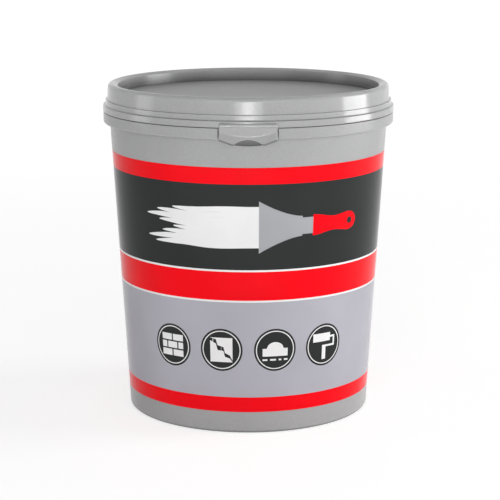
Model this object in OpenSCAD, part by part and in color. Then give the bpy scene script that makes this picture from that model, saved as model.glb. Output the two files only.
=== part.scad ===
// Wall filler tub. A tapered plastic tub carries a wrap-round label and holds the paste.
// Its lid presses over the rim, has a recess in which the next tub stands, and carries a pull tab
// that hangs through a window in the tub's collar.
// Millimetres. The origin is on the table under the tub's axis, and the tab faces -Y.

/* [Tub] */
// Outside diameter at which the tapered wall would meet the table
base_d = 99.6; // [80:0.2:160]
// Lean of the wall from upright, in degrees
wall_lean = 3.4; // [2:0.1:5]
// Height of the tub's rim above the table
tub_h = 127.2; // [90:0.2:180]
// Thickness of the wall
wall_t = 1.1; // [0.9:0.05:1.6]
// Thickness of the floor
floor_t = 1.3; // [1:0.1:2.5]
// Height of the floor's underside above the table
foot_h = 1.6; // [1:0.1:3]
// Width of the ring that the tub stands on, with its rounded heel
foot_w = 5; // [4:0.1:10]

/* [Rim and collar] */
// Thickness of the upright neck above the collar
neck_t = 0.95; // [0.8:0.05:1.4]
// How far the rim's bead stands out from the neck
bead_out = 0.55; // [0.4:0.05:1]
// Height of the rim's bead
bead_h = 1.5; // [1.2:0.05:1.8]
// Gap between the lid's lower edge and the collar
collar_gap = 0.35; // [0.3:0.05:1.2]
// Height of the collar's hanging band
collar_h = 4.45; // [3:0.05:8]
// Thickness of the collar's band and of its web
collar_t = 1.1; // [0.8:0.05:1.5]
// How far the collar lies inside the lid's lower edge
collar_inset = 0.2; // [0:0.05:0.5]
// Number of ribs under the collar
rib_count = 36; // [12:4:60]
// Thickness of a rib
rib_t = 0.8; // [0.5:0.05:1.5]

/* [Lid] */
// Thickness of the lid's panel and rim
lid_t = 1.1; // [0.8:0.05:1.3]
// Height of the lid's raised rim above the tub's rim
lid_rise = 7.8; // [7:0.1:12]
// Depth of the recess in the lid
recess_depth = 5.3; // [4.4:0.1:5.8]
// Width of the lid's raised rim
rim_w = 3.9; // [3.4:0.1:8]
// Drop of the lid's skirt below the tub's rim
skirt_drop = 3.4; // [3.2:0.1:5]
// Thickness of the skirt round the tub's rim
skirt_t = 0.75; // [0.6:0.05:1.2]
// Step outwards from the skirt to its lower band
band_out = 0.8; // [0.5:0.05:1.5]
// Drop of the plug below the tub's rim
plug_drop = 3; // [2.6:0.1:3.6]
// Clearance of the lid's snap lip round the rim's bead
snap_clear = 0.2; // [0.1:0.05:0.4]
// Clearance of the lid's plug inside the neck
plug_clear = 0.15; // [0.1:0.05:0.4]

/* [Pull tab] */
// Width of the tab
tab_w = 22.2; // [18:0.2:32]
// Width of the tab's nose
nose_w = 11.8; // [9:0.2:16]
// Drop of the tab below the lid's lower edge
tab_drop = 7.1; // [6:0.1:9]
// Height of the slanted corners beside the nose
nose_h = 1.8; // [1:0.1:3]
// Sag of the nose's rounded lower edge
nose_sag = 0.5; // [0.2:0.1:1]
// How far the lip stands out from the tab's face
lip_out = 1.2; // [0.6:0.1:2]
// Height of the flared lip
lip_h = 3.7; // [3:0.1:4.4]
// Width of the finger arch under the lip
arch_w = 11.2; // [8:0.2:14]
// Height of the finger arch
arch_h = 2.8; // [1.2:0.1:2.9]
// Gap between the tab's sides and the collar
tab_gap = 0.6; // [0.4:0.05:1.5]
// Radius of the round bead that the tab turns on
hinge_r = 0.75; // [0.6:0.05:0.9]

/* [Label] */
// Height of the label's lower edge above the table
label_low = 8.9; // [6:0.1:20]
// Gap between the label's upper edge and the collar's lower edge
label_gap = 11; // [2:0.1:40]
// Thickness of the label's film
label_t = 0.12; // [0.1:0.01:0.2]
// Gap between the label's two ends at the back
label_seam = 1; // [0.4:0.1:4]

/* [Filler] */
// Headspace between the tub's rim and the paste's edge
headspace = 20.3; // [12:0.1:60]
// Height of the ripples on the paste
ripple_h = 1.6; // [0.4:0.1:3]

/* [Hidden] */
$fn = 96;

tub_grey = [0.63, 0.64, 0.64];
lid_grey = [0.66, 0.66, 0.67];
label_red = [0.86, 0.02, 0.06];
paste_white = [0.93, 0.92, 0.89];

// Segments in one rounded corner, and how far a cutting shape runs past what it cuts
corner_steps = 6;
overrun = 1;

// Small roundings: heel and floor of the tub, outer and inner edge of the lid's rim, plain edges and fine edges
heel_r = 1.4;
floor_fillet_r = 3;
rim_out_r = 1.7;
rim_in_r = 0.9;
edge_r = 0.3;
fine_r = 0.2;

// Slope of the foot ring's inner side, and the dimple at the middle of the floor
foot_slope = 0.8;
gate_r = 2.6;
gate_depth = 0.4;

// Clearances that hold still pieces apart
label_clear = 0.02;
paste_clear = 0.2;

// Heights from the table up
floor_z = foot_h + floor_t;
skirt_z = tub_h - skirt_drop;
collar_z = skirt_z - collar_gap;
collar_low_z = collar_z - collar_h;
lid_top_z = tub_h + lid_rise;
panel_z = lid_top_z - recess_depth;
panel_low_z = panel_z - lid_t;
label_top_z = collar_low_z - label_gap;
label_h = label_top_z - label_low;
paste_top_z = tub_h - headspace;

// Outside radius of the tapered wall at a height above the table
function wall_r(z) = base_d / 2 + z * tan(wall_lean);

// Radii of the neck and of the bead round its rim
neck_in_r = wall_r(collar_z) - wall_t;
neck_r = neck_in_r + neck_t;
bead_r = neck_r + bead_out;

// Radii of the lid, from the bead outwards
lip_hook = 0.25;
hook_h = 1.1;
rim_over = 0.3;
hook_r = bead_r + snap_clear;
skirt_in_r = hook_r + lip_hook;
flare_r = skirt_in_r + skirt_t;
band_r = flare_r + band_out;
band_lean = 3;
skirt_r = band_r + skirt_drop * tan(band_lean);
collar_r = skirt_r - collar_inset;
collar_in_r = collar_r - collar_t;

// The lid's raised rim stands over the bead and leans in a little towards its top
rim_lean = 2.5;
flare_rise = 1.6;
flare_drop = 0.2;
crease_drop = 0.8;
rim_foot_r = bead_r + rim_over;
rim_r = rim_foot_r - (lid_rise - flare_rise) * tan(rim_lean);
recess_r = rim_r - rim_w;
recess_low_r = recess_r - recess_depth * tan(rim_lean);

// The plug flares from the recess wall to the neck's bore
plug_r = neck_in_r - plug_clear;
plug_t = 1;
plug_lip_h = 1.2;
plug_lead = 0.5;

// The tab's hinge bead lies in a groove across the front of the skirt
hinge_out = 0.3;
hinge_up = 0.9;
hinge_clear = 0.08;
hinge_y = -(skirt_r + hinge_out);
hinge_z = skirt_z + hinge_up;

// Radii of the tab, and its clearance from the lid's skirt
tab_clear = 0.25;
tab_behind = 1.25;
tab_face_in = 0.5;
tab_back_t = 1;
lip_edge_h = 0.7;
tab_low_z = skirt_z - tab_drop;
lip_top_z = tab_low_z + lip_h;
under_skirt_z = skirt_z - tab_clear;
tab_r = skirt_r + hinge_out + hinge_r;
tab_face_r = tab_r - tab_face_in;
tab_low_r = tab_r - tab_face_in * (hinge_z - tab_low_z) / (hinge_z - lip_top_z);
tab_back_r = skirt_r - tab_behind;

// The window in the collar clears the tab all round and goes right through the collar's band
window_w = tab_w + 2 * tab_gap;
window_in_r = min(tab_back_r, collar_in_r) - tab_gap / 2;
window_half_angle = asin((window_w / 2 + rib_t) / collar_r);

function unit(v) = v / norm(v);

// Points on the arc that rounds one corner of an outline, where a corner is [x, y, radius]
function corner_arc(before, corner, after) =
    let (
        at = [corner.x, corner.y],
        back = unit([before.x, before.y] - at),
        ahead = unit([after.x, after.y] - at),
        half_angle = acos(back * ahead) / 2,
        centre = at + unit(back + ahead) * corner.z / sin(half_angle),
        start = at + back * corner.z / tan(half_angle) - centre,
        turn = sign(cross(ahead, back)) * (180 - 2 * half_angle)
    )
    [for (i = [0:corner_steps])
        let (a = turn * i / corner_steps)
        centre + [start.x * cos(a) - start.y * sin(a), start.x * sin(a) + start.y * cos(a)]];

// Points of a closed outline whose corners are rounded by their own radius, zero for a sharp one
function rounded(corners) =
    let (last = len(corners) - 1)
    [for (i = [0:last])
        each corners[i].z == 0
            ? [[corners[i].x, corners[i].y]]
            : corner_arc(corners[i == 0 ? last : i - 1], corners[i], corners[i == last ? 0 : i + 1])];

// A section of corners [radius, height, rounding] turned round the tub's axis
module turned(corners) {
    rotate_extrude()
        polygon(rounded(corners));
}

// Tapered wall with a shallow seat for the label, raised floor, upright neck and beaded rim
module tub_shell() {
    seat = label_t + label_clear;
    foot_in_r = wall_r(0) - foot_w;
    bead_low_z = tub_h - bead_h;
    turned([
        [0, foot_h, 0],
        [foot_in_r - foot_slope, foot_h, edge_r],
        [foot_in_r, 0, edge_r],
        [wall_r(0), 0, heel_r],
        [wall_r(label_low), label_low, 0],
        [wall_r(label_low) - seat, label_low, 0],
        [wall_r(label_top_z) - seat, label_top_z, 0],
        [wall_r(label_top_z), label_top_z, 0],
        [wall_r(collar_z), collar_z, 0],
        [neck_r, collar_z, 0],
        [neck_r, bead_low_z - bead_out, fine_r],
        [bead_r, bead_low_z, fine_r],
        [bead_r, tub_h, edge_r],
        [neck_in_r, tub_h, edge_r],
        [neck_in_r, collar_z, 0],
        [wall_r(floor_z) - wall_t, floor_z, floor_fillet_r],
        [0, floor_z, 0]
    ]);
}

// Web and hanging band round the neck, with the window that the tab hangs through
module collar() {
    root_r = neck_in_r + neck_t / 2;
    difference() {
        turned([
            [root_r, collar_z - collar_t, 0],
            [collar_in_r, collar_z - collar_t, edge_r],
            [collar_in_r, collar_low_z, fine_r],
            [collar_r, collar_low_z, fine_r],
            [collar_r, collar_z, edge_r],
            [root_r, collar_z, 0]
        ]);
        tab_window();
    }
}

// Space in front of the neck that the tab hangs in
module tab_window() {
    difference() {
        translate([-window_w / 2, -collar_r - overrun, collar_low_z - overrun])
            cube([window_w, collar_r, collar_h + 2 * overrun]);
        translate([0, 0, collar_low_z - 2 * overrun])
            cylinder(r = window_in_r, h = collar_h + 4 * overrun);
    }
}

// Ribs that stiffen the collar from below, left out behind the window
module collar_ribs() {
    low_z = collar_low_z + collar_t;
    out_r = collar_r - collar_t / 2;
    for (i = [0:rib_count - 1]) {
        from_front = 360 * (i + 0.5) / rib_count;
        if (min(from_front, 360 - from_front) > window_half_angle)
            rotate([0, 0, from_front - 90])
                rotate([90, 0, 0])
                    linear_extrude(rib_t, center = true)
                        polygon([
                            [wall_r(low_z) - wall_t / 2, low_z],
                            [out_r, low_z],
                            [out_r, collar_z - collar_t / 2],
                            [wall_r(collar_z - collar_t / 2) - wall_t / 2, collar_z - collar_t / 2]
                        ]);
    }
}

// Round dimple under the tub's floor, where the plastic was injected
module gate_mark() {
    translate([0, 0, foot_h - overrun])
        cylinder(r = gate_r, h = gate_depth + overrun);
}

module tub() {
    color(tub_grey)
        difference() {
            union() {
                tub_shell();
                collar();
                collar_ribs();
            }
            gate_mark();
        }
}

// Printed film that lies flush in its seat on the wall, with its ends apart at the back
module label() {
    low = label_low + label_clear;
    high = label_top_z - label_clear;
    color(label_red)
        difference() {
            rotate_extrude()
                polygon([
                    [wall_r(low) - label_t, low],
                    [wall_r(low), low],
                    [wall_r(high), high],
                    [wall_r(high) - label_t, high]
                ]);
            translate([-label_seam / 2, 0, label_low - overrun])
                cube([label_seam, wall_r(label_top_z) + overrun, label_h + 2 * overrun]);
        }
}

// Panel, raised rim, flared and stepped skirt with its snap lip, and the flared plug
module lid_shell() {
    cavity_z = lid_top_z - lid_t;
    crease_z = tub_h + flare_rise;
    step_z = tub_h - crease_drop;
    hook_top_z = skirt_z + hook_h;
    lean_in = (cavity_z - tub_h) * tan(rim_lean);
    turned([
        [0, panel_z, 0],
        [recess_low_r, panel_z, edge_r],
        [recess_r, lid_top_z, rim_in_r],
        [rim_r, lid_top_z, rim_out_r],
        [rim_foot_r, crease_z, edge_r],
        [flare_r, tub_h - flare_drop, edge_r],
        [flare_r, step_z, fine_r],
        [band_r, step_z, edge_r],
        [skirt_r, skirt_z, edge_r],
        [hook_r, skirt_z, edge_r],
        [hook_r, hook_top_z, 0],
        [skirt_in_r, hook_top_z + lip_hook, 0],
        [skirt_in_r, tub_h, 0],
        [rim_foot_r - lid_t, tub_h, 0],
        [rim_foot_r - lid_t - lean_in, cavity_z, edge_r],
        [recess_r + lid_t, cavity_z, edge_r],
        [recess_low_r + lid_t, panel_z, edge_r],
        [plug_r, tub_h - plug_drop + plug_lip_h, edge_r],
        [plug_r, tub_h - plug_drop + plug_lead, fine_r],
        [plug_r - plug_lead, tub_h - plug_drop, fine_r],
        [plug_r - plug_t, tub_h - plug_drop, fine_r],
        [plug_r - plug_t, tub_h - plug_drop + plug_lip_h, edge_r],
        [recess_low_r, panel_low_z, edge_r],
        [0, panel_low_z, 0]
    ]);
}

// Round bar along the tab's hinge axis
module hinge_bar(r, length) {
    translate([-length / 2, hinge_y, hinge_z])
        rotate([0, 90, 0])
            cylinder(r = r, h = length);
}

module lid() {
    color(lid_grey)
        difference() {
            lid_shell();
            hinge_bar(hinge_r + hinge_clear, window_w);
        }
}

// Curved plate of the tab: a leaning face, and a back behind the skirt
module tab_plate() {
    front_gap_r = skirt_r + tab_clear;
    turned([
        [tab_back_r, tab_low_z, fine_r],
        [tab_low_r, tab_low_z, fine_r],
        [tab_r, hinge_z, 0],
        [front_gap_r, hinge_z, 0],
        [front_gap_r, under_skirt_z, 0],
        [tab_back_r, under_skirt_z, 0]
    ]);
}

// Straight lip whose flare meets the curved face low in the middle and higher at the sides
module tab_lip() {
    lip_y = -(tab_face_r + lip_out);
    lip_edge_z = tab_low_z + lip_edge_h;
    flare_end_z = lip_top_z + (tab_face_r - tab_back_r) * (lip_top_z - lip_edge_z) / lip_out;
    intersection() {
        translate([-tab_w / 2, 0, 0])
            rotate([90, 0, 90])
                linear_extrude(tab_w)
                    polygon(rounded([
                        [-tab_back_r, tab_low_z, 0],
                        [-tab_back_r, flare_end_z, 0],
                        [lip_y, lip_edge_z, fine_r],
                        [lip_y, tab_low_z, fine_r]
                    ]));
        translate([-tab_w, lip_y - overrun, tab_low_z])
            cube([2 * tab_w, tab_r, under_skirt_z - tab_low_z]);
    }
}

// Tongue outline of the tab as seen from the front, with slanted corners and a sagging nose
module tab_outline() {
    nose_steps = 12;
    shoulder_z = tab_low_z + nose_sag + nose_h;
    rotate([90, 0, 0])
        linear_extrude(tab_r + lip_out + overrun)
            polygon([
                [-tab_w / 2, hinge_z],
                [-tab_w / 2, shoulder_z],
                for (i = [0:nose_steps])
                    let (share = 2 * i / nose_steps - 1)
                    [nose_w / 2 * share, tab_low_z + nose_sag * share * share],
                [tab_w / 2, shoulder_z],
                [tab_w / 2, hinge_z]
            ]);
}

// Arched pocket under the lip, which leaves the tab's back standing
module finger_arch() {
    arch_r = (arch_w * arch_w / 4 + arch_h * arch_h) / (2 * arch_h);
    translate([0, -(tab_back_r + tab_back_t), tab_low_z + arch_h - arch_r])
        rotate([90, 0, 0])
            cylinder(r = arch_r, h = tab_r + lip_out);
}

module pull_tab() {
    color(lid_grey)
        difference() {
            union() {
                intersection() {
                    union() {
                        tab_plate();
                        tab_lip();
                    }
                    tab_outline();
                }
                hinge_bar(hinge_r, tab_w);
            }
            finger_arch();
        }
}

// Paste as it settles when filled: a low centre peak and soft rings that fade towards the wall
module filler_paste() {
    ring_count = 2.5;
    ring_steps = 30;
    low_r = wall_r(floor_z) - wall_t - paste_clear;
    high_r = wall_r(paste_top_z) - wall_t - paste_clear;
    side = rounded([
        [0, floor_z, 0],
        [low_r, floor_z, floor_fillet_r],
        [high_r, paste_top_z, 0]
    ]);
    color(paste_white)
        rotate_extrude()
            polygon([
                each side,
                for (i = [ring_steps - 1:-1:0])
                    let (share = i / ring_steps)
                    [high_r * share, paste_top_z + ripple_h * (1 - share) * cos(360 * ring_count * share)]
            ]);
}

tub();
label();
lid();
pull_tab();
filler_paste();
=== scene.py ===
import math

import bmesh
import bpy
import numpy as np
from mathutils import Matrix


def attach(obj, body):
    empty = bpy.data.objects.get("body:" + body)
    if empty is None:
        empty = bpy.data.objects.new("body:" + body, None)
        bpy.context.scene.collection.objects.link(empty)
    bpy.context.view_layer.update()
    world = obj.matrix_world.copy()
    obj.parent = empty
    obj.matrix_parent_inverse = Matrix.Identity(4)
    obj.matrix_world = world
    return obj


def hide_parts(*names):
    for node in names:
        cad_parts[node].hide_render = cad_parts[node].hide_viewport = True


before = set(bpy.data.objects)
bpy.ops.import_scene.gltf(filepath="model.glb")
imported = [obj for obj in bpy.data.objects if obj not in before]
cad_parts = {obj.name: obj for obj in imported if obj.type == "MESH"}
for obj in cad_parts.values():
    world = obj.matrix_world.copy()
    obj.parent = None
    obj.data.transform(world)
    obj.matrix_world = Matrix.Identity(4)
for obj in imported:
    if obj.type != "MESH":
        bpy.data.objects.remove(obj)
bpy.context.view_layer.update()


# The tub: one thin injection moulding in grey polypropylene. Its wall leans out from a foot ring to an upright neck
# with a beaded rim, and a ribbed collar hangs round the neck with a window in front for the lid's pull tab.
base_r = 49.8
wall_slope = math.tan(math.radians(3.4))
wall_t = 1.1
floor_low_z, floor_z = 1.6, 2.9
foot_in_r, foot_slope, foot_painted_shade = 44.8, 0.8, 1.2
heel_ease, floor_ease = 1.4, 3
label_low_z, label_top_z, label_seat = 8.9, 108.0, 0.14
collar_z, collar_low_z, collar_t = 123.5, 119.0, 1.1
collar_r, collar_in_r, collar_ease = 59.512, 58.412, 0.85
neck_in_r, neck_r, bead_r = 56.034, 56.984, 57.534
bead_low_z, tub_rim_z = 125.7, 127.2
window_in_r, window_half_w = 58.112, 11.7
rib_count, rib_t = 36, 0.8
gate_r, gate_depth = 2.6, 0.4
tub_grey = (0.395, 0.397, 0.399)


def wall_r(z):
    """Outside radius of the leaning wall: the radius at the table plus the height times the slope."""
    return base_r + z * wall_slope


def eased(corners, steps=7):
    """Closed outline through corners of radius, height and easing. An eased corner becomes points on the arc that
    touches both of its sides. The third column is the edge share: 0 at an arc's ends and, in its middle, 1 on an outer
    corner, where plastic rubs pale, and -1 in an inner corner, which is painted darker as shade."""
    corners = np.asarray(corners, float)
    at, easing = corners[:, :2], corners[:, 2:]
    back, ahead = np.roll(at, 1, axis=0) - at, np.roll(at, -1, axis=0) - at
    back /= np.linalg.norm(back, axis=1, keepdims=True)
    ahead /= np.linalg.norm(ahead, axis=1, keepdims=True)
    half = np.arccos(np.clip((back * ahead).sum(1, keepdims=True), -1, 1)) / 2
    inward = back + ahead
    inward /= np.maximum(np.linalg.norm(inward, axis=1, keepdims=True), 1e-9)
    centre = at + inward * easing / np.sin(half)
    start = at + back * easing / np.tan(half) - centre
    side = np.sign(ahead[:, :1] * back[:, 1:] - ahead[:, 1:] * back[:, :1])
    around = np.sign(at[:, 0] @ np.roll(at[:, 1], -1) - at[:, 1] @ np.roll(at[:, 0], -1))
    share = np.linspace(0, 1, steps)
    turn = side * (math.pi - 2 * half) * share
    radius = centre[:, :1] + start[:, :1] * np.cos(turn) - start[:, 1:] * np.sin(turn)
    height = centre[:, 1:] + start[:, :1] * np.sin(turn) + start[:, 1:] * np.cos(turn)
    points = np.stack(np.broadcast_arrays(radius, height, around * side * np.sin(math.pi * share)), axis=-1)
    return points[(easing > 0) | (np.arange(steps) == 0)]


def lathed(outline, angles):
    """Profile carried round the axis: radius r and height z at angle a go to r sin a, minus r cos a and z, with angle
    0 at the tab. Rows follow the profile, columns follow the angle, and the fourth value keeps the edge share."""
    r, z, edge = outline[:, 0, None], outline[:, 1, None], outline[:, 2, None]
    return np.stack(np.broadcast_arrays(r * np.sin(angles), -r * np.cos(angles), z, edge), axis=-1)


def skin(grid, ring_rows=False, ring_columns=False, capped=False):
    """Quads between neighbours on a grid of points. A ring joins the last row or column to the first, and caps close
    the first and last column with one face each."""
    index = np.arange(grid.shape[0] * grid.shape[1]).reshape(grid.shape[:2])
    caps = [index[::-1, 0], index[:, -1]] if capped else []
    index = np.vstack([index, index[:1]]) if ring_rows else index
    index = np.hstack([index, index[:, :1]]) if ring_columns else index
    quads = np.stack([index[:-1, :-1], index[:-1, 1:], index[1:, 1:], index[1:, :-1]], axis=-1)
    return grid.reshape(-1, 4), quads.reshape(-1, 4), caps


def moulding(name, skins, crease=38):
    """One mesh object in metres from skins in millimetres: points that meet are welded, faces turn outwards, edges
    bent by more than crease degrees stay sharp, and flat sides keep their own normals beside the eased edges."""
    starts = np.cumsum([0] + [len(points) for points, quads, caps in skins])
    points = np.vstack([points for points, quads, caps in skins])
    faces = np.vstack([quads + start for (p, quads, c), start in zip(skins, starts)]).tolist()
    faces += [(cap + start).tolist() for (p, q, caps), start in zip(skins, starts) for cap in caps]
    mesh = bpy.data.meshes.new(name)
    mesh.from_pydata((points[:, :3] / 1000).tolist(), [], faces)
    mesh.attributes.new("edge", "FLOAT", "POINT").data.foreach_set("value", points[:, 3].astype(np.float32))
    weld = bmesh.new()
    weld.from_mesh(mesh)
    bmesh.ops.remove_doubles(weld, verts=weld.verts, dist=1e-7)
    bmesh.ops.recalc_face_normals(weld, faces=weld.faces)
    weld.to_mesh(mesh)
    weld.free()
    mesh.shade_smooth()
    mesh.set_sharp_from_angle(angle=math.radians(crease))
    piece = bpy.data.objects.new(name, mesh)
    bpy.context.scene.collection.objects.link(piece)
    piece.modifiers.new("flat sides", "WEIGHTED_NORMAL").keep_sharp = True
    return piece


def wired(tree, kind, inputs=(), **settings):
    """One shader node with its settings made and its inputs filled by numbers, colours or other nodes' outputs."""
    made = tree.nodes.new(kind)
    for key, value in settings.items():
        setattr(made, key, value)
    for key, value in dict(inputs).items():
        if isinstance(value, bpy.types.NodeSocket):
            tree.links.new(value, made.inputs[key])
        else:
            made.inputs[key].default_value = value
    return made


def blank_finish(name):
    """A new node material, with its tree, its shader and the object's own coordinates."""
    finish = bpy.data.materials.new(name)
    finish.use_nodes = True
    tree = finish.node_tree
    return finish, tree, tree.nodes["Principled BSDF"], wired(tree, "ShaderNodeTexCoord").outputs["Object"]


def moulded_plastic(name, colour, gloss, shine, matt_r):
    """Moulded plastic. Slow noise gives the flow marks and fine noise the speckle of the tint, stretched noise gives
    rub marks that dull the gloss, outer edges are rubbed paler, inner corners and other places with a negative edge
    share are painted darker as shade, fine noise raises the mould's grain, and from matt_r towards the axis the mould
    is etched, so the plastic turns matt there."""
    etch_fade = 1.2
    finish, tree, shader, place = blank_finish(name)
    flow = wired(tree, "ShaderNodeTexNoise", {"Vector": place, "Scale": 28, "Detail": 3}).outputs[0]
    speckle = wired(tree, "ShaderNodeTexNoise", {"Vector": place, "Scale": 1100, "Detail": 2}).outputs[0]
    along = wired(tree, "ShaderNodeMapping", {"Vector": place, "Scale": (70, 70, 900)}).outputs[0]
    rubbed = wired(tree, "ShaderNodeTexNoise", {"Vector": along, "Scale": 1, "Detail": 4}).outputs[0]
    edge = wired(tree, "ShaderNodeAttribute", attribute_name="edge").outputs["Fac"]
    rubbed_edge = wired(tree, "ShaderNodeMath", {0: edge, 1: 0.0}, operation="MAXIMUM").outputs[0]
    edge_marks = wired(tree, "ShaderNodeMath", {0: rubbed_edge, 1: rubbed}, operation="MULTIPLY").outputs[0]
    tint = wired(tree, "ShaderNodeMath", {0: flow, 1: speckle}, operation="ADD").outputs[0]
    tint = wired(tree, "ShaderNodeMath", {0: edge_marks, 1: 0.45, 2: tint}, operation="MULTIPLY_ADD").outputs[0]
    shade = wired(tree, "ShaderNodeValToRGB", {"Fac": wired(
        tree, "ShaderNodeMapRange", {"Value": tint, "From Min": 0.55, "From Max": 1.75}).outputs[0]})
    shade.color_ramp.elements[0].color = (*(0.93 * c for c in colour), 1)
    shade.color_ramp.elements[1].color = (*(1.14 * c for c in colour), 1)
    flat = wired(tree, "ShaderNodeMapping", {"Vector": place, "Scale": (1, 1, 0)}).outputs[0]
    from_axis = wired(tree, "ShaderNodeVectorMath", {0: flat}, operation="LENGTH").outputs["Value"]
    etched = wired(tree, "ShaderNodeMapRange", {
        "Value": from_axis, "From Min": (matt_r - etch_fade) / 1000, "From Max": matt_r / 1000,
        "To Min": 1.0, "To Max": 0.0}).outputs[0]
    sheen = wired(tree, "ShaderNodeMath", {0: etched, 1: 0.25, 2: gloss}, operation="MULTIPLY_ADD").outputs[0]
    glint = wired(tree, "ShaderNodeMath", {0: etched, 1: -0.65 * shine, 2: shine}, operation="MULTIPLY_ADD").outputs[0]
    dull = wired(tree, "ShaderNodeMath", {0: rubbed, 1: 0.1, 2: sheen}, operation="MULTIPLY_ADD").outputs[0]
    grain = wired(tree, "ShaderNodeTexNoise", {"Vector": place, "Scale": 1900, "Detail": 2}).outputs[0]
    bump = wired(tree, "ShaderNodeBump", {"Height": grain, "Strength": 0.25, "Distance": 0.00004}).outputs[0]
    # painted shade: negative edge shares, on inner corners, the recess foot, the tub's heel and the tab's pocket and
    # lower edges, darken the colour down to a tenth
    painted_shade = wired(tree, "ShaderNodeMapRange", {
        "Value": edge, "From Min": -3.0, "From Max": 0.0, "To Min": 0.1, "To Max": 1.0}).outputs[0]
    painted_shade_colour = wired(tree, "ShaderNodeMix", {0: 1.0, 6: shade.outputs[0], 7: painted_shade},
                  data_type="RGBA", blend_type="MULTIPLY")
    tree.links.new(painted_shade_colour.outputs[2], shader.inputs["Base Color"])
    tree.links.new(glint, shader.inputs["Specular IOR Level"])
    tree.links.new(dull, shader.inputs["Roughness"])
    tree.links.new(bump, shader.inputs["Normal"])
    return finish


all_round = np.linspace(0, 2 * math.pi, 240, endpoint=False)
tub_outline = eased([
    (0, floor_low_z + gate_depth, 0),
    (gate_r, floor_low_z + gate_depth, 0.1),
    (gate_r, floor_low_z, 0.1),
    (foot_in_r - foot_slope, floor_low_z, 0.3),
    (foot_in_r, 0, 0.3),
    (base_r, 0, heel_ease),
    (wall_r(label_low_z), label_low_z, 0.04),
    (wall_r(label_low_z) - label_seat, label_low_z, 0),
    (wall_r(label_top_z) - label_seat, label_top_z, 0),
    (wall_r(label_top_z), label_top_z, 0.04),
    (wall_r(collar_z), collar_z, 0),
    (neck_r, collar_z, 0),
    (neck_r, bead_low_z - (bead_r - neck_r), 0.2),
    (bead_r, bead_low_z, 0.2),
    (bead_r, tub_rim_z, 0.3),
    (neck_in_r, tub_rim_z, 0.3),
    (neck_in_r, collar_z, 0),
    (wall_r(floor_z) - wall_t, floor_z, floor_ease),
    (0, floor_z, 0),
])
# painted shade: under the floor the edge share is turned over and scaled, so the heel's eased corner is painted dark as
# contact shade with the table
tub_outline[tub_outline[:, 1] < floor_low_z, 2] *= -foot_painted_shade
neck_mid_r = (neck_in_r + neck_r) / 2
web_outline = eased([
    (neck_mid_r, collar_z - collar_t, 0),
    (window_in_r, collar_z - collar_t, 0),
    (window_in_r, collar_z, 0),
    (neck_mid_r, collar_z, 0),
])
collar_outline = eased([
    (window_in_r, collar_z - collar_t, 0),
    (collar_in_r, collar_z - collar_t, 0.25),
    (collar_in_r, collar_low_z, 0.2),
    (collar_r, collar_low_z, collar_ease),
    (collar_r, collar_z, 0.3),
    (window_in_r, collar_z, 0),
])
window_angle = np.arcsin(window_half_w / collar_outline[:, :1])
collar_angles = window_angle + (2 * math.pi - 2 * window_angle) * np.linspace(0, 1, 240)
rib_low_z, rib_top_z = collar_low_z + collar_t, collar_z - collar_t / 2
rib_corners = np.array([
    (wall_r(rib_low_z) - wall_t / 2, rib_low_z),
    (collar_r - collar_t / 2, rib_low_z),
    (collar_r - collar_t / 2, rib_top_z),
    (wall_r(rib_top_z) - wall_t / 2, rib_top_z),
])


def rib(angle):
    """One collar rib: its four-cornered section stands on a line out from the axis, and its two sides lie half the
    rib's thickness to either side of that line."""
    r, z, across = rib_corners[:, :1], rib_corners[:, 1:], np.array([[-rib_t / 2, rib_t / 2]])
    x = r * math.sin(angle) + across * math.cos(angle)
    y = across * math.sin(angle) - r * math.cos(angle)
    return np.stack(np.broadcast_arrays(x, y, z, 0), axis=-1)


rib_angles = (np.arange(rib_count) + 0.5) * 2 * math.pi / rib_count
rib_angles = rib_angles[np.cos(rib_angles) < math.cos(math.asin((window_half_w + rib_t) / collar_r))]
tub = moulding("tub_moulding", [
    skin(lathed(tub_outline, all_round), ring_columns=True),
    skin(lathed(web_outline, all_round), ring_rows=True, ring_columns=True),
    skin(lathed(collar_outline, collar_angles), ring_rows=True, capped=True),
    *[skin(rib(angle), ring_rows=True, capped=True) for angle in rib_angles],
])
tub.data.materials.append(moulded_plastic("tub_plastic", tub_grey, 0.2, 0.12, foot_in_r))
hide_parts("tub")
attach(tub, "tub")


# The label: a thin printed plastic film that is laid in the mould, so it fuses flush into the tub's wall. It goes once
# round the tub, its two ends meet at the back, and it is printed in plain bands.
film_t, film_gap, seam_half_w = 0.12, 0.02, 0.5
print_red = (0.97, 0.002, 0.009)
print_charcoal = (0.031, 0.033, 0.033)
print_grey = (0.455, 0.45, 0.50)
print_white = (0.86, 0.86, 0.86)
band_edges_z = (label_low_z, 15.0, 54.0, 54.8, 66.2, 67.0, 101.2)
band_colours = (print_red, print_grey, print_white, print_red, print_white, print_charcoal, print_red)


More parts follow.
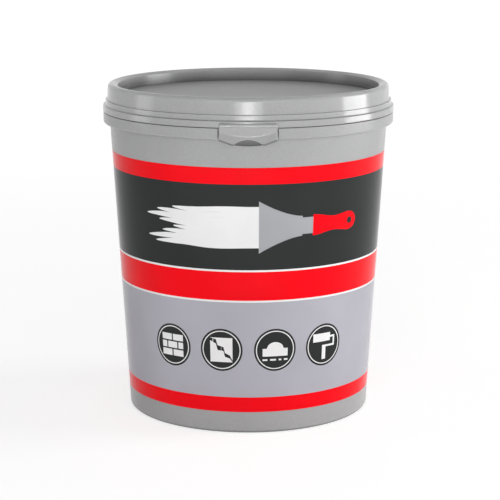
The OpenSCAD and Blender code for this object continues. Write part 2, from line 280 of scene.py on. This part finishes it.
def film_over(finish, tree, shader, place, colour):
    """Gloss, rub marks, orange peel and slight ink variation over a printed colour."""
    slow = wired(tree, "ShaderNodeTexNoise", {"Vector": place, "Scale": 45, "Detail": 3}).outputs[0]
    ink = wired(tree, "ShaderNodeMapRange", {
        "Value": slow, "From Min": 0.3, "From Max": 0.7, "To Min": 0.96, "To Max": 1.04}).outputs[0]
    inked = wired(tree, "ShaderNodeMix", {0: 1.0, 6: colour, 7: ink}, data_type="RGBA", blend_type="MULTIPLY")
    along = wired(tree, "ShaderNodeMapping", {"Vector": place, "Scale": (60, 60, 110)}).outputs[0]
    rubbed = wired(tree, "ShaderNodeTexNoise", {"Vector": along, "Scale": 1, "Detail": 4}).outputs[0]
    dull = wired(tree, "ShaderNodeMapRange", {
        "Value": rubbed, "From Min": 0.35, "From Max": 0.75, "To Min": 0.1, "To Max": 0.17}).outputs[0]
    peel = wired(tree, "ShaderNodeTexNoise", {"Vector": place, "Scale": 520, "Detail": 1}).outputs[0]
    bump = wired(tree, "ShaderNodeBump", {"Height": peel, "Strength": 0.08, "Distance": 0.00004}).outputs[0]
    shader.inputs["Specular IOR Level"].default_value = 0.07
    tree.links.new(inked.outputs[2], shader.inputs["Base Color"])
    tree.links.new(dull, shader.inputs["Roughness"])
    tree.links.new(bump, shader.inputs["Normal"])
    return finish


def printed_film(name):
    """Glossy printed film. A constant ramp over the height lays the bands, slow noise shifts the ink a little,
    rub marks dull the gloss, and soft noise gives the film its slight orange peel."""
    finish, tree, shader, place = blank_finish(name)
    height = wired(tree, "ShaderNodeSeparateXYZ", {0: place}).outputs[2]
    share = wired(tree, "ShaderNodeMapRange", {
        "Value": height, "From Min": label_low_z / 1000, "From Max": label_top_z / 1000}).outputs[0]
    bands = wired(tree, "ShaderNodeValToRGB", {"Fac": share})
    bands.color_ramp.interpolation = "CONSTANT"
    stops = bands.color_ramp.elements
    while len(stops) < len(band_edges_z):
        stops.new(1)
    for stop, z, colour in zip(stops, band_edges_z, band_colours):
        stop.position = (z - label_low_z) / (label_top_z - label_low_z)
        stop.color = (*colour, 1)
    return film_over(finish, tree, shader, place, bands.outputs[0])


film_low_z, film_top_z = label_low_z + film_gap, label_top_z - film_gap
film_outline = eased([
    (wall_r(film_low_z) - film_t, film_low_z, 0),
    (wall_r(film_low_z), film_low_z, 0),
    (wall_r(film_top_z), film_top_z, 0),
    (wall_r(film_top_z) - film_t, film_top_z, 0),
])
seam_angle = np.arcsin(seam_half_w / film_outline[:, :1])
film_angles = seam_angle - math.pi + (2 * math.pi - 2 * seam_angle) * np.linspace(0, 1, 240)
label = moulding("label_film", [skin(lathed(film_outline, film_angles), ring_rows=True, capped=True)])
label.data.materials.append(printed_film("printed_film"))
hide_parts("label")
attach(label, "tub")


# The print on the label: inks laid on the film before it is moulded in, drawn as skins of ink a hair proud of the film.
# A filling knife draws a white smear along the dark band, and four round signs below show what the filler is for.
ink_mid_z, ink_t, ink_sink = 58.0, 0.012, 0.02
knife_z = 84.4
smear_s, smear_half_h, smear_streaks = (-43.0, 5.5), 8.2, 8
blade_s, blade_half_h = (4.0, 21.0), (10.4, 4.0)
ferrule_s, ferrule_half_h = (21.0, 25.5), 3.3
handle_s, handle_half_h, hang_hole_r, hang_hole_in = (25.5, 47.0), 4.2, 1.3, 3.6
sign_s, sign_z, sign_r, sign_line = (-33.0, -11.0, 11.0, 33.0), 34.6, 8.7, (7.9, 7.5)
print_steel = (0.40, 0.41, 0.43)


def inked(arc, low, high, layer):
    """One patch of ink on the leaning wall, closed all round: it fills the wall between a lower and an upper height
    along an arc in millimetres from the front, and a later layer stands higher by one ink's thickness."""
    turn = np.asarray(arc, float) / wall_r(ink_mid_z)
    z = np.vstack(np.broadcast_arrays(low, low, high, high, turn)[:4])
    r = wall_r(z) + np.array([[-ink_sink], [layer * ink_t], [layer * ink_t], [-ink_sink]])
    return skin(np.stack(np.broadcast_arrays(r * np.sin(turn), -r * np.cos(turn), z, 0), axis=-1), True, capped=True)


def ink_disc(s, z, radius, layer):
    """Round spot of ink: half its height is the sine of an angle that runs along its width."""
    turn = np.linspace(math.pi - 0.02, 0.02, 64)
    return inked(s + radius * np.cos(turn), z - radius * np.sin(turn), z + radius * np.sin(turn), layer)


def ink_bars(s, z, bars, layer):
    """Square-cornered bars of ink about one place, each with its left, right, lower and upper side."""
    return [inked(s + np.linspace(left, right, 9), z + low, z + high, layer) for left, right, low, high in bars]


def ink_smear():
    """White smear that the knife leaves: streaks side by side, each between two slowly waving lines, that start at
    uneven places on the left, widen from a point and end under the blade."""
    row = np.arange(smear_streaks)[:, None]
    start = smear_s[0] + 13 * np.sin(2.4 * row + 0.6) ** 2
    s = start + (smear_s[1] - start) * np.linspace(0, 1, 90) ** 1.2
    width = 2 * smear_half_h / smear_streaks
    fill = np.clip((s - start) / 9, 0.01, 1) ** 0.5
    middle = (row - (smear_streaks - 1) / 2) * width + 0.5 * np.sin(0.17 * s + 0.3 * row) * np.clip(-s / 20, 0, 1)
    half = 0.515 * width * fill
    return [inked(*streak, 1) for streak in zip(s, knife_z + middle - half, knife_z + middle + half)]


blade_line = np.linspace(*blade_s, 40)
blade_half = blade_half_h[1] + (blade_half_h[0] - blade_half_h[1]) * np.linspace(1, 0, 40) ** 1.6
handle_share = np.sin(np.linspace(0, math.pi / 2, 60))
handle_line = handle_s[0] + (handle_s[1] - handle_s[0]) * handle_share
handle_half = handle_half_h * np.sqrt(1.001 - handle_share ** 8) * (0.84 + 0.16 * np.cos(2.2 * math.pi * handle_share))
crack_line = np.array([-4.6, -2.2, -1.5, 0.9, 1.5, 3.5, 4.6])
crack_mid = np.array([4.4, 3.4, 0.9, 0.4, -2.0, -2.8, -4.6])
crack_half = np.array([0.6, 0.9, 1.0, 0.8, 0.8, 0.6, 0.3])
wall_tile = [(-4.6, 4.6, -5.0, 5.0)]
block_line = np.linspace(-5.2, 5.2, 41)
block_top = 0.6 + 2.6 * np.sqrt(np.clip(1 - (block_line / 3.4) ** 2, 0, 1))
bricks = [(-5.2, -0.3, -4.5, -1.9), (0.3, 5.2, -4.5, -1.9), (-5.2, -2.9, -1.3, 1.3), (-2.3, 2.3, -1.3, 1.3),
          (2.9, 5.2, -1.3, 1.3), (-5.2, -0.3, 1.9, 4.5), (0.3, 5.2, 1.9, 4.5)]
sanding_dust = [(-5.2, -3.2, -4.4, -3.7), (-2.1, 0.4, -4.4, -3.7), (1.5, 2.6, -4.4, -3.7), (3.7, 5.2, -4.4, -3.7)]
roller = [(-5.4, 3.0, 1.4, 4.8), (3.0, 5.4, 2.7, 3.5), (4.6, 5.4, -0.9, 2.7), (-0.4, 4.6, -0.9, -0.1),
          (-0.9, 0.9, -6.0, -0.1)]
prints = {
    "white_ink": (print_white, [
        *ink_smear(),
        *[ink_disc(s, sign_z, sign_line[0], 2) for s in sign_s],
        *ink_bars(sign_s[0], sign_z, bricks, 4),
        *ink_bars(sign_s[1], sign_z, wall_tile, 4),
        inked(sign_s[2] + block_line, sign_z - 2.6, sign_z + block_top, 4),
        *ink_bars(sign_s[2], sign_z, sanding_dust, 4),
        *ink_bars(sign_s[3], sign_z, roller, 4),
    ]),
    "charcoal_ink": (print_charcoal, [
        ink_disc(handle_s[1] - hang_hole_in, knife_z, hang_hole_r, 3),
        *[ink_disc(s, sign_z, sign_r, 1) for s in sign_s],
        *[ink_disc(s, sign_z, sign_line[1], 3) for s in sign_s],
        inked(sign_s[1] + crack_line, sign_z + crack_mid - crack_half, sign_z + crack_mid + crack_half, 5),
    ]),
    "red_ink": (print_red, [inked(handle_line, knife_z - handle_half, knife_z + handle_half, 2)]),
    "steel_ink": (print_steel, [
        inked(blade_line, knife_z - blade_half, knife_z + blade_half, 2),
        inked(np.linspace(*ferrule_s, 12), knife_z - ferrule_half_h, knife_z + ferrule_half_h, 3),
    ]),
}
for ink_name, (ink_colour, patches) in prints.items():
    ink = moulding(ink_name, patches)
    ink_finish, ink_tree, ink_shader, ink_place = blank_finish(ink_name)
    ink_tone = wired(ink_tree, "ShaderNodeRGB").outputs[0]
    ink_tone.default_value = (*ink_colour, 1)
    ink.data.materials.append(film_over(ink_finish, ink_tree, ink_shader, ink_place, ink_tone))
    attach(ink, "tub")


# The filler: ready-mixed white paste that is poured in at the works. It settles level against the wall and keeps the
# soft turn that the filling nozzle left on top.
paste_top_z, paste_gap = 106.9, 0.2
ripple_h, ripple_turns = 1.6, 2.5
paste_low_r = wall_r(floor_z) - wall_t - paste_gap
paste_top_r = wall_r(paste_top_z) - wall_t - paste_gap
paste_white = (0.80, 0.79, 0.755)


def poured_top(rows, angles):
    """Top of the paste: the height is a cosine of the distance from the middle plus the angle, so its ridges run out
    as a spiral, and they fade from the full ripple in the middle to nothing at the wall."""
    share = np.linspace(1, 0, rows)[:, None]
    lead = np.clip((share - 0.06) / 0.2, 0, 1)
    phase = 2 * math.pi * ripple_turns * share + angles * (lead > 0)
    round_peak = np.cos(2 * math.pi * ripple_turns * share)
    height = paste_top_z + ripple_h * (1 - share) * (round_peak * (1 - lead) + np.cos(phase) * lead)
    r = paste_top_r * share
    return np.stack(np.broadcast_arrays(r * np.sin(angles), -r * np.cos(angles), height, 0), axis=-1)


def paste_finish(name):
    """Matt mineral paste: slow noise warms the white a little, and two sizes of noise raise its fine grain."""
    finish, tree, shader, place = blank_finish(name)
    slow = wired(tree, "ShaderNodeTexNoise", {"Vector": place, "Scale": 60, "Detail": 4}).outputs[0]
    shade = wired(tree, "ShaderNodeValToRGB", {"Fac": slow})
    shade.color_ramp.elements[0].color = (*(0.94 * c for c in paste_white), 1)
    shade.color_ramp.elements[1].color = (*(1.04 * c for c in paste_white), 1)
    damp = wired(tree, "ShaderNodeMapRange", {"Value": slow, "To Min": 0.5, "To Max": 0.75}).outputs[0]
    coarse = wired(tree, "ShaderNodeTexNoise", {"Vector": place, "Scale": 260, "Detail": 6}).outputs[0]
    bump = wired(tree, "ShaderNodeBump", {"Height": coarse, "Strength": 0.5, "Distance": 0.0004}).outputs[0]
    tree.links.new(shade.outputs[0], shader.inputs["Base Color"])
    tree.links.new(damp, shader.inputs["Roughness"])
    tree.links.new(bump, shader.inputs["Normal"])
    return finish


paste_side = eased([(0, floor_z, 0), (paste_low_r, floor_z, floor_ease), (paste_top_r, paste_top_z, 0)])
paste = moulding("poured_paste", [
    skin(np.vstack([lathed(paste_side, all_round), poured_top(70, all_round)[1:]]), ring_columns=True),
])
paste.data.materials.append(paste_finish("filler_paste"))
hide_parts("filler_paste")
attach(paste, "tub")


# The lid: a second moulding in the same grey plastic, pressed over the rim by hand. A raised rim round a sunken panel
# takes the next tub in a stack, a plug fits inside the neck, and the stepped skirt snaps under the rim's bead.
lid_top_z, panel_z, panel_low_z, lid_t = 135.0, 129.7, 128.6, 1.1
recess_r, recess_low_r, recess_foot_r = 53.514, 53.432, 52.95
rim_r, rim_foot_r, crease_z = 57.564, 57.834, 128.5
rim_fall, rim_crest, rim_ease = 0.75, 2.2, 1.7
cove_r, step_z = 58.62, 126.25
band_r, skirt_r, skirt_z = 59.534, 59.711, 123.75
hook_r, skirt_in_r, hook_top_z = 57.734, 57.984, 124.9
cavity_z, cavity_r, cavity_in_r = 133.9, 56.442, 54.764
plug_r, plug_t, plug_z, plug_h = 55.884, 1.0, 124.2, 1.2
hinge_y, hinge_z, groove_r = -60.012, 124.7, 0.83
groove_share = np.linspace(0.18, 0.88, 24)
recess_painted_shade, matt_out_r = 2.4, 53.7
lid_grey = (0.390, 0.391, 0.395)
lid_outline = eased([
    (0, panel_z, 0),
    (recess_foot_r, panel_z, 0.3),
    (recess_r, lid_top_z - rim_fall, 0.4),
    (rim_r - rim_crest, lid_top_z, 0.5),
    (rim_r, lid_top_z, rim_ease),
    (rim_foot_r, crease_z, 0.06),
    (cove_r - 0.06, crease_z - 0.05, 0.12),
    (cove_r, step_z, 0.5),
    (band_r, step_z, 0.2),
    *np.column_stack([
        band_r + (skirt_r - band_r) * groove_share, step_z + (skirt_z - step_z) * groove_share, 0 * groove_share]),
    (skirt_r, skirt_z, 0.3),
    (hook_r, skirt_z, 0.3),
    (hook_r, hook_top_z, 0),
    (skirt_in_r, hook_top_z + 0.25, 0),
    (skirt_in_r, tub_rim_z, 0),
    (rim_foot_r - lid_t, tub_rim_z, 0),
    (cavity_r, cavity_z, 0.3),
    (cavity_in_r, cavity_z, 0.3),
    (recess_low_r + lid_t, panel_z, 0.3),
    (plug_r, plug_z + plug_h, 0.3),
    (plug_r, plug_z + plug_t / 2, 0.2),
    (plug_r - plug_t / 2, plug_z, 0.2),
    (plug_r - plug_t, plug_z, 0.2),
    (plug_r - plug_t, plug_z + plug_h, 0.3),
    (recess_low_r, panel_low_z, 0.3),
    (0, panel_low_z, 0),
])
# painted shade: the foot of the recess wall is painted dark, as the shade at the bottom of the recess
recess_foot = (lid_outline[:, 0] < recess_r) & (lid_outline[:, 1] > panel_z) & (lid_outline[:, 1] < panel_z + lid_t)
lid_outline[recess_foot, 2] = -recess_painted_shade
front_angle = math.radians(14)
lid_angles = np.concatenate([
    np.linspace(-front_angle, front_angle, 96, endpoint=False),
    np.linspace(front_angle, 2 * math.pi - front_angle, 220, endpoint=False),
])


def grooved(grid):
    """The lid's surface with the hinge groove pressed across its front: a point inside the round groove moves
    straight back to the groove's far side, the root of its radius squared less the height from its axis squared."""
    x, y, z = grid[..., 0], grid[..., 1], grid[..., 2]
    depth = np.sqrt(np.maximum(groove_r ** 2 - (z - hinge_z) ** 2, 0))
    inside = (np.abs(x) < window_half_w) & (np.hypot(y - hinge_y, z - hinge_z) < groove_r)
    pressed = grid.copy()
    pressed[..., 1] = np.where(inside, hinge_y + depth, y)
    return pressed


lid = moulding("lid_moulding", [skin(grooved(lathed(lid_outline, lid_angles)), ring_columns=True)])
lid.data.materials.append(moulded_plastic("lid_plastic", lid_grey, 0.1, 0.38, matt_out_r))
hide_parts("lid")
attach(lid, "lid")


# The pull tab: moulded with the lid and hung from its skirt by a thin film hinge, which a round bead stands for. Its
# curved face runs into a straight flared lip, with slanted corners, a sagging nose and an arched pocket for a finger.
tab_half_w, nose_half_w, nose_sag = 11.1, 5.9, 0.5
tab_low_z, shoulder_z = 116.7, 119.0
tab_r, tab_face_r = 60.762, 60.262
lip_top_z, lip_edge_z, lip_y = 120.4, 117.4, 61.462
tab_ease, crease_ease = 0.3, 0.12
tab_back_r, pocket_y, pocket_low_y = 58.462, 59.46, 58.7
tab_gap_r, tab_gap_z = 59.962, 123.55
arch_r, arch_z = 9.5, 109.75
# painted shadow and shade on the tab: how dark the lip's lower edge, the pocket and the slanted corners are painted,
# and over what height the corners darken
lip_painted_shadow, pocket_painted_shade, corner_painted_shadow, corner_shadow_h = 1.75, 2.6, 2.2, 0.5
bead_pin_r, bead_square = 0.75, 2.3


def tab_front(x, z):
    """How far the tab's front lies in front of the axis: whichever is further out of a curved face that leans in and
    a straight flare that ends in an upright edge, eased a little where the two meet."""
    face_r = tab_face_r + (tab_r - tab_face_r) * (z - lip_top_z) / (hinge_z - lip_top_z)
    face = np.sqrt(face_r ** 2 - x ** 2)
    flare = tab_face_r + (lip_y - tab_face_r) * (lip_top_z - z) / (lip_top_z - lip_edge_z)
    joined = (face + flare + np.hypot(face - flare, crease_ease)) / 2
    return np.minimum(joined, lip_y)


def tab_plate(columns):
    """The tab's plate, one closed section for each place across its width: down the front, round the lip's edge, in
    under the lip, down the pocket, under the back, up the back and over the ledge behind the hinge. Towards both
    sides the front is drawn back along a quarter circle, so the side edges are eased. The pocket, the lip's lower edge
    and the slanted lower edges are painted dark, as the shade in the pocket and the shadow under the lip."""
    x = tab_half_w * np.sin(np.linspace(-math.pi / 2, math.pi / 2, columns))
    slant = (np.abs(x) - nose_half_w) / (tab_half_w - nose_half_w)
    low = np.where(slant > 0, tab_low_z + nose_sag + (shoulder_z - tab_low_z - nose_sag) * slant,
                   tab_low_z + nose_sag * (x / nose_half_w) ** 2)
    lip = np.maximum(low, arch_z + np.sqrt(np.maximum(arch_r ** 2 - x ** 2, 0)))
    to_side = np.clip((np.abs(x) - tab_half_w + tab_ease) / tab_ease, 0, 1)
    drawn_back = tab_ease * (1 - np.sqrt(1 - to_side ** 2))
    down, level = np.linspace(0, 1, 44)[:, None], np.ones((1, columns))
    turn = np.linspace(0, math.pi / 2, 6)[1:, None]
    front_z = hinge_z + (lip + tab_ease - hinge_z) * down
    edge_y = tab_front(x, lip + tab_ease) - drawn_back
    back_y, gap_y = np.sqrt(tab_back_r ** 2 - x ** 2), np.sqrt(tab_gap_r ** 2 - x ** 2)
    corner = np.clip((np.abs(x) - nose_half_w) / tab_ease + 2, 0, 1)
    shaded = corner * np.clip((lip + tab_ease - front_z) / corner_shadow_h + 1, 0, 1)
    section_y = np.vstack([
        tab_front(x, front_z) - drawn_back, edge_y - tab_ease * (1 - np.cos(turn)),
        level * pocket_y, level * pocket_low_y, back_y, back_y, gap_y, gap_y])
    section_z = np.vstack([
        front_z, lip + tab_ease * (1 - np.sin(turn)),
        lip, low, low, level * tab_gap_z, level * tab_gap_z, level * hinge_z])
    # edge share: the eased side edges rub pale, and the lip's edge, the pocket and the slanted corners are painted dark
    # as shade and shadow
    edge_marks = np.vstack([
        to_side * (1 - shaded) - corner_painted_shadow * shaded, np.minimum(-lip_painted_shadow * np.sin(turn), -corner_painted_shadow * corner),
        -lip_painted_shadow * level, *[-pocket_painted_shade * level] * 2, *[0 * level] * 3])
    return np.stack([x + 0 * section_y, -section_y, section_z, edge_marks], axis=-1)


def hinge_bead(rings):
    """Bead along the hinge: a circle about the hinge axis, a little squarer in front, carried across the tab and drawn
    in at both ends."""
    share = np.linspace(-1, 1, rings)
    size = bead_pin_r * np.sqrt(np.clip(1 - np.clip((np.abs(share) - 0.98) / 0.02, 0, 1) ** 2, 0.36, 1))
    turn = np.linspace(0, 2 * math.pi, 28, endpoint=False)[:, None]
    squared = np.where(np.cos(turn) < 0, bead_square, 2.0)
    reach = size * (np.abs(np.cos(turn)) ** squared + np.abs(np.sin(turn)) ** squared) ** (-1 / squared)
    y, z = hinge_y + reach * np.cos(turn), hinge_z + reach * np.sin(turn)
    return np.stack(np.broadcast_arrays(tab_half_w * share, y, z, 0.3), axis=-1)


tab = moulding("tab_moulding", [
    skin(tab_plate(139), ring_rows=True, capped=True),
    skin(hinge_bead(101), ring_rows=True, capped=True),
], crease=50)
tab.data.materials.append(lid.data.materials[0])
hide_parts("pull_tab")
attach(tab, "pull_tab")


# The table and the light: a plain white table that runs out of sight, soft boxes all round and above, a white card that
# lies in front, and a low strip in a wider glow that draws the narrow gleam down the lid. The table turns from a soft
# shadow near the tub to pure white further out.
def white_to_camera(tree):
    """1 where a ray comes from the camera, a gloss or a clear surface, and 0 where it carries light to the object."""
    rays = wired(tree, "ShaderNodeLightPath").outputs
    seen = wired(tree, "ShaderNodeMath", {0: rays["Is Camera Ray"], 1: rays["Is Glossy Ray"]}, operation="MAXIMUM")
    return wired(tree, "ShaderNodeMath", {0: seen.outputs[0], 1: rays["Is Transmission Ray"]},
                 operation="MAXIMUM").outputs[0]


table_half, shadow_r, ground_r = 4, 0.15, 0.9
shadow_share, shadow_white, room_dim = 0.3, 0.63, 0.06
table_mesh = bpy.data.meshes.new("table")
table_mesh.from_pydata([
    (-table_half, -table_half, 0), (table_half, -table_half, 0),
    (table_half, table_half, 0), (-table_half, table_half, 0)], [], [(0, 1, 2, 3)])
table = bpy.data.objects.new("table", table_mesh)
bpy.context.scene.collection.objects.link(table)
table_white, table_tree, table_shader, table_place = blank_finish("table_white")
table_cloud = wired(table_tree, "ShaderNodeTexNoise", {"Vector": table_place, "Scale": 6, "Detail": 2}).outputs[0]
table_tint = wired(table_tree, "ShaderNodeValToRGB", {"Fac": table_cloud})
table_tint.color_ramp.elements[0].color = (0.88, 0.88, 0.88, 1)
table_tint.color_ramp.elements[1].color = (0.90, 0.90, 0.90, 1)
table_out = wired(table_tree, "ShaderNodeVectorMath", {0: table_place}, operation="LENGTH").outputs["Value"]
table_far = wired(table_tree, "ShaderNodeMapRange", {
    "Value": table_out, "From Min": shadow_r, "From Max": ground_r, "To Min": shadow_share, "To Max": 1.0}).outputs[0]
table_level = wired(table_tree, "ShaderNodeMapRange", {
    "Value": table_out, "From Min": shadow_r, "From Max": ground_r, "To Min": shadow_white, "To Max": 1.0}).outputs[0]
table_seen = white_to_camera(table_tree)
table_glow = wired(table_tree, "ShaderNodeMath", {0: table_seen, 1: table_level}, operation="MULTIPLY").outputs[0]
table_kept = wired(table_tree, "ShaderNodeMapRange", {
    "Value": wired(table_tree, "ShaderNodeMath", {0: table_seen, 1: table_far}, operation="MULTIPLY").outputs[0],
    "To Min": 1.0, "To Max": 0.0}).outputs[0]
table_lit = wired(table_tree, "ShaderNodeMix", {0: 1.0, 6: table_tint.outputs[0], 7: table_kept},
                  data_type="RGBA", blend_type="MULTIPLY").outputs[2]
table_tree.links.new(table_lit, table_shader.inputs["Base Color"])
table_tree.links.new(table_glow, table_shader.inputs["Emission Strength"])
table_shader.inputs["Emission Color"].default_value = (1, 1, 1, 1)
table_shader.inputs["Roughness"].default_value = 0.9
table_shader.inputs["Specular IOR Level"].default_value = 0.1
table_mesh.materials.append(table_white)

room = bpy.data.worlds.new("room")
room.use_nodes = True
bpy.context.scene.world = room
room_sky = room.node_tree.nodes["Background"]
room_level = wired(room.node_tree, "ShaderNodeMapRange", {
    "Value": white_to_camera(room.node_tree), "To Min": room_dim, "To Max": 1.0})
room_sky.inputs["Color"].default_value = (1, 1, 1, 1)
room.node_tree.links.new(room_level.outputs[0], room_sky.inputs["Strength"])


def soft_box(name, place, aim, width, height, power):
    """A rectangular lamp at a place in metres, turned to face its aim and unseen by the camera."""
    lamp = bpy.data.lights.new(name, "AREA")
    lamp.shape, lamp.size, lamp.size_y, lamp.energy = "RECTANGLE", width, height, power
    box = bpy.data.objects.new(name, lamp)
    bpy.context.scene.collection.objects.link(box)
    gaze = np.subtract(aim, place)
    box.location, box.visible_camera = place, False
    box.rotation_euler = (math.acos(-gaze[2] / np.linalg.norm(gaze)), 0, math.atan2(gaze[1], gaze[0]) - math.pi / 2)
    return box


soft_box("right_box", (0.80, 0.04, 0.19), (0, 0, 0.12), 0.40, 0.36, 4.15)
soft_box("left_box", (-0.80, -0.01, 0.26), (0, 0, 0.12), 0.26, 0.50, 0.92)
soft_box("front_box", (0.00, -1.10, 0.36), (0, 0, 0.10), 1.60, 0.44, 4.05)
soft_box("front_card", (0.00, -0.52, 0.004), (0, -0.51, 1), 1.20, 0.64, 1.26)
back_box = soft_box("back_box", (0.00, 1.00, 0.40), (0, 0, 0.08), 1.40, 0.40, 1.6)
back_box.visible_glossy = False
soft_box("top_box", (0.00, 0.00, 1.10), (0, 0.001, 0.12), 2.60, 2.60, 6.2)
soft_box("front_strip", (0.0, -0.62, 0.086), (0, 0, 0.12), 0.09, 0.128, 0.345)
soft_box("front_glow", (0.0, -0.63, 0.086), (0, 0, 0.12), 0.22, 0.128, 0.51)


# The camera: a long lens that looks down a little on the lid, from the tab's side as in the photograph.
look_down = 11.677
camera = bpy.data.cameras.new("camera")
camera.lens, camera.sensor_width = 129.1, 36
camera_stand = bpy.data.objects.new("camera", camera)
bpy.context.scene.collection.objects.link(camera_stand)
camera_stand.location = (0.00068, -0.7349, 0.2162)
camera_stand.rotation_euler = (math.radians(90 - look_down), 0, 0)
bpy.context.scene.camera = camera_stand
bpy.context.scene.view_settings.view_transform = "Standard"
